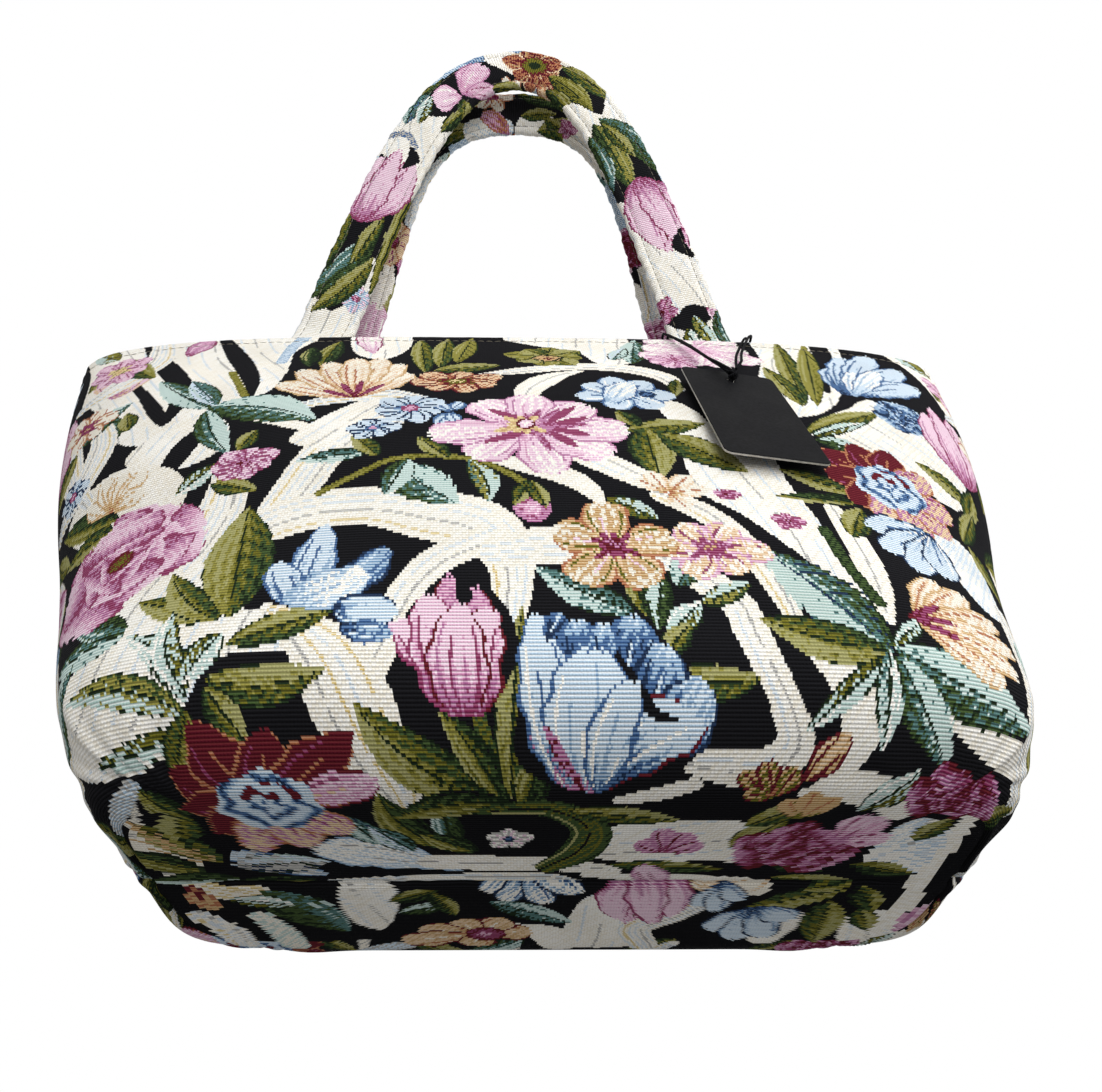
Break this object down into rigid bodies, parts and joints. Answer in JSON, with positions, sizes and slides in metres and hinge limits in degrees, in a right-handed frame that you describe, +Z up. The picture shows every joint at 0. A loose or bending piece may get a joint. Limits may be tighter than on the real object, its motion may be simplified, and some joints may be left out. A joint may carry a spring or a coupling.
{
  "type": "jacquard handbag",
  "caption": "Soft floral jacquard tote handbag with a boxed base, an open mouth, arched strap handles and a card tag hung on a cord.",
  "frame": {"origin": "middle of the flat base, on the surface that the bag stands on", "axes": "+Z up, the front faces -Y, +X to the right as seen from the front"},
  "size_m": [0.36, 0.1469, 0.3912],
  "materials": {
    "jacquard": "ribbed floral jacquard weave",
    "lining": "plain beige cotton",
    "card": "matte black card with a pale cut edge",
    "cord": "black twisted cord"
  },
  "bodies": {
    "bag": {"front_panel": "jacquard", "back_panel": "jacquard", "front_lining": "lining", "back_lining": "lining", "front_handle": "jacquard", "rear_handle": "jacquard", "tag_cord": "cord", "tag_knot": "cord"},
    "tag": {"hang_tag": "card"}
  },
  "joints": [
    {"name": "tag_swing", "type": "hinge", "parent": "bag", "child": "tag", "pos_m": [0.06197, -0.04904, 0.1577], "axis": [0.1681, -0.9534, 0.2504], "range_deg": [-20, 50]}
  ]
}
